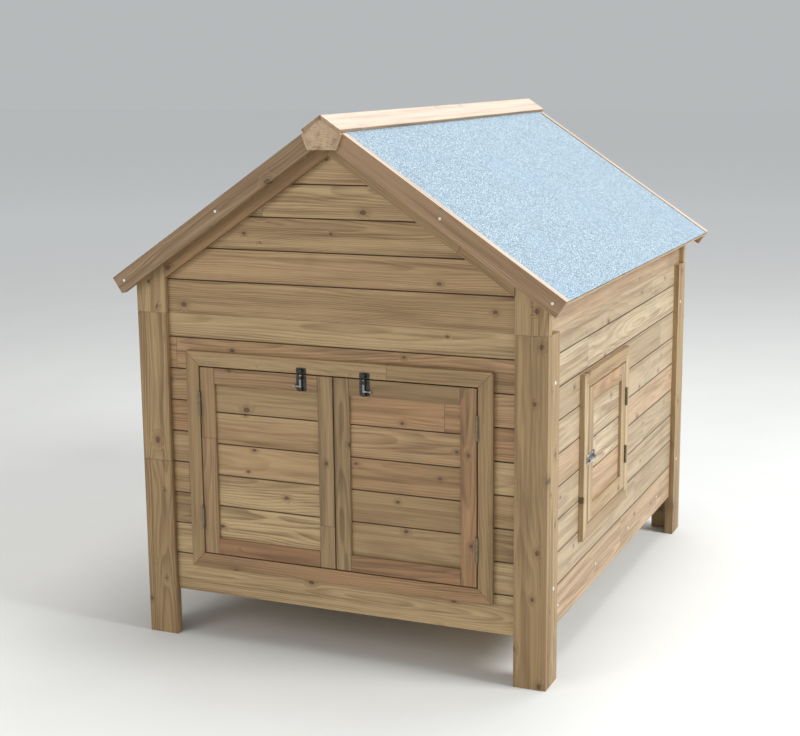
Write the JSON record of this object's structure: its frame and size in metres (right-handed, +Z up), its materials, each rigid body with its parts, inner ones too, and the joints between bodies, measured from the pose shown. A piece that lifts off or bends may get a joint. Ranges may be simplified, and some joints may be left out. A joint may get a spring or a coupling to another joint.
{
  "type": "rabbit hutch",
  "caption": "Free-standing gable-roofed timber rabbit hutch on short legs, with double front doors, a small side door, barrel bolts and a felted roof with a ridge cap.",
  "frame": {"origin": "on the ground under the middle of the roof's plan", "axes": "+Z up, front with the double doors faces -Y, side with the small door faces +X, ridge along Y"},
  "size_m": [1.166, 1.512, 1.3239],
  "materials": {
    "post_timber": "glazed softwood, satin",
    "board_timber": "glazed softwood tongue-and-groove boards, satin",
    "trim_timber": "glazed softwood casing and battens, satin",
    "door_timber": "glazed softwood door frames, satin",
    "roof_timber": "glazed softwood roof trim, satin",
    "inner_timber": "planed softwood, matt",
    "felt": "mineral-surfaced roofing felt, pale blue-green granules, rough",
    "zinc": "zinc-plated steel, satin",
    "dark_steel": "black-lacquered steel, satin",
    "bright_rod": "bright-plated steel rod",
    "screw_zinc": "bright zinc-plated screw heads"
  },
  "bodies": {
    "hutch": {"front_post_left": "post_timber", "front_post_right": "post_timber", "front_boards_below": "board_timber", "front_boards_above": "board_timber", "front_boards_left": "board_timber", "front_boards_right": "board_timber", "front_casing": "trim_timber", "front_gable_posts": "post_timber", "front_gable_boards": "board_timber", "front_gable_battens": "trim_timber", "rear_post_left": "post_timber", "rear_post_right": "post_timber", "rear_boards": "board_timber", "rear_gable_posts": "post_timber", "rear_gable_boards": "board_timber", "rear_gable_battens": "trim_timber", "left_stile_front": "post_timber", "left_stile_rear": "post_timber", "left_boards": "board_timber", "right_stile_front": "post_timber", "right_stile_rear": "post_timber", "right_boards_below": "board_timber", "right_boards_above": "board_timber", "right_boards_front": "board_timber", "right_boards_rear": "board_timber", "right_casing": "trim_timber", "eave_boards": "board_timber", "floor": "inner_timber", "floor_bearers": "inner_timber", "ridge_beam": "inner_timber", "roof_deck_left": "inner_timber", "roof_deck_right": "inner_timber", "roof_felt_left": "felt", "roof_felt_right": "felt", "barge_front_left": "roof_timber", "barge_front_right": "roof_timber", "barge_rear_left": "roof_timber", "barge_rear_right": "roof_timber", "ridge_cap": "roof_timber", "ridge_blocks": "roof_timber", "left_door_hinges": "zinc", "right_door_hinges": "zinc", "side_door_hinges": "zinc", "bolt_keepers": "dark_steel", "screws": "screw_zinc"},
    "left_door": {"left_door_frame": "door_timber", "left_door_boards": "board_timber", "left_hinge_leaves": "zinc", "left_bolt_plate": "dark_steel"},
    "right_door": {"right_door_frame": "door_timber", "right_door_boards": "board_timber", "right_hinge_leaves": "zinc", "right_bolt_plate": "dark_steel"},
    "side_door": {"side_door_frame": "door_timber", "side_door_boards": "board_timber", "side_hinge_leaves": "zinc", "side_bolt_plate": "zinc"},
    "left_bolt": {"left_bolt_rod": "bright_rod"},
    "right_bolt": {"right_bolt_rod": "bright_rod"},
    "side_bolt": {"side_bolt_rod": "bright_rod"}
  },
  "joints": [
    {"name": "left_door_hinge", "type": "hinge", "parent": "hutch", "child": "left_door", "pos_m": [-0.3645, -0.7185, 0.47], "axis": [0, 0, -1], "range_deg": [0, 165]},
    {"name": "right_door_hinge", "type": "hinge", "parent": "hutch", "child": "right_door", "pos_m": [0.3645, -0.7185, 0.47], "axis": [0, 0, 1], "range_deg": [0, 165]},
    {"name": "side_door_hinge", "type": "hinge", "parent": "hutch", "child": "side_door", "pos_m": [0.5365, -0.0275, 0.482], "axis": [0, 0, 1], "range_deg": [0, 165]},
    {"name": "left_bolt_slide", "type": "slide", "parent": "left_door", "child": "left_bolt", "axis": [0, 0, 1], "range_m": [0, 0.015]},
    {"name": "right_bolt_slide", "type": "slide", "parent": "right_door", "child": "right_bolt", "axis": [0, 0, 1], "range_m": [0, 0.015]},
    {"name": "side_bolt_slide", "type": "slide", "parent": "side_door", "child": "side_bolt", "axis": [0, -1, 0], "range_m": [0, 0.015]}
  ]
}
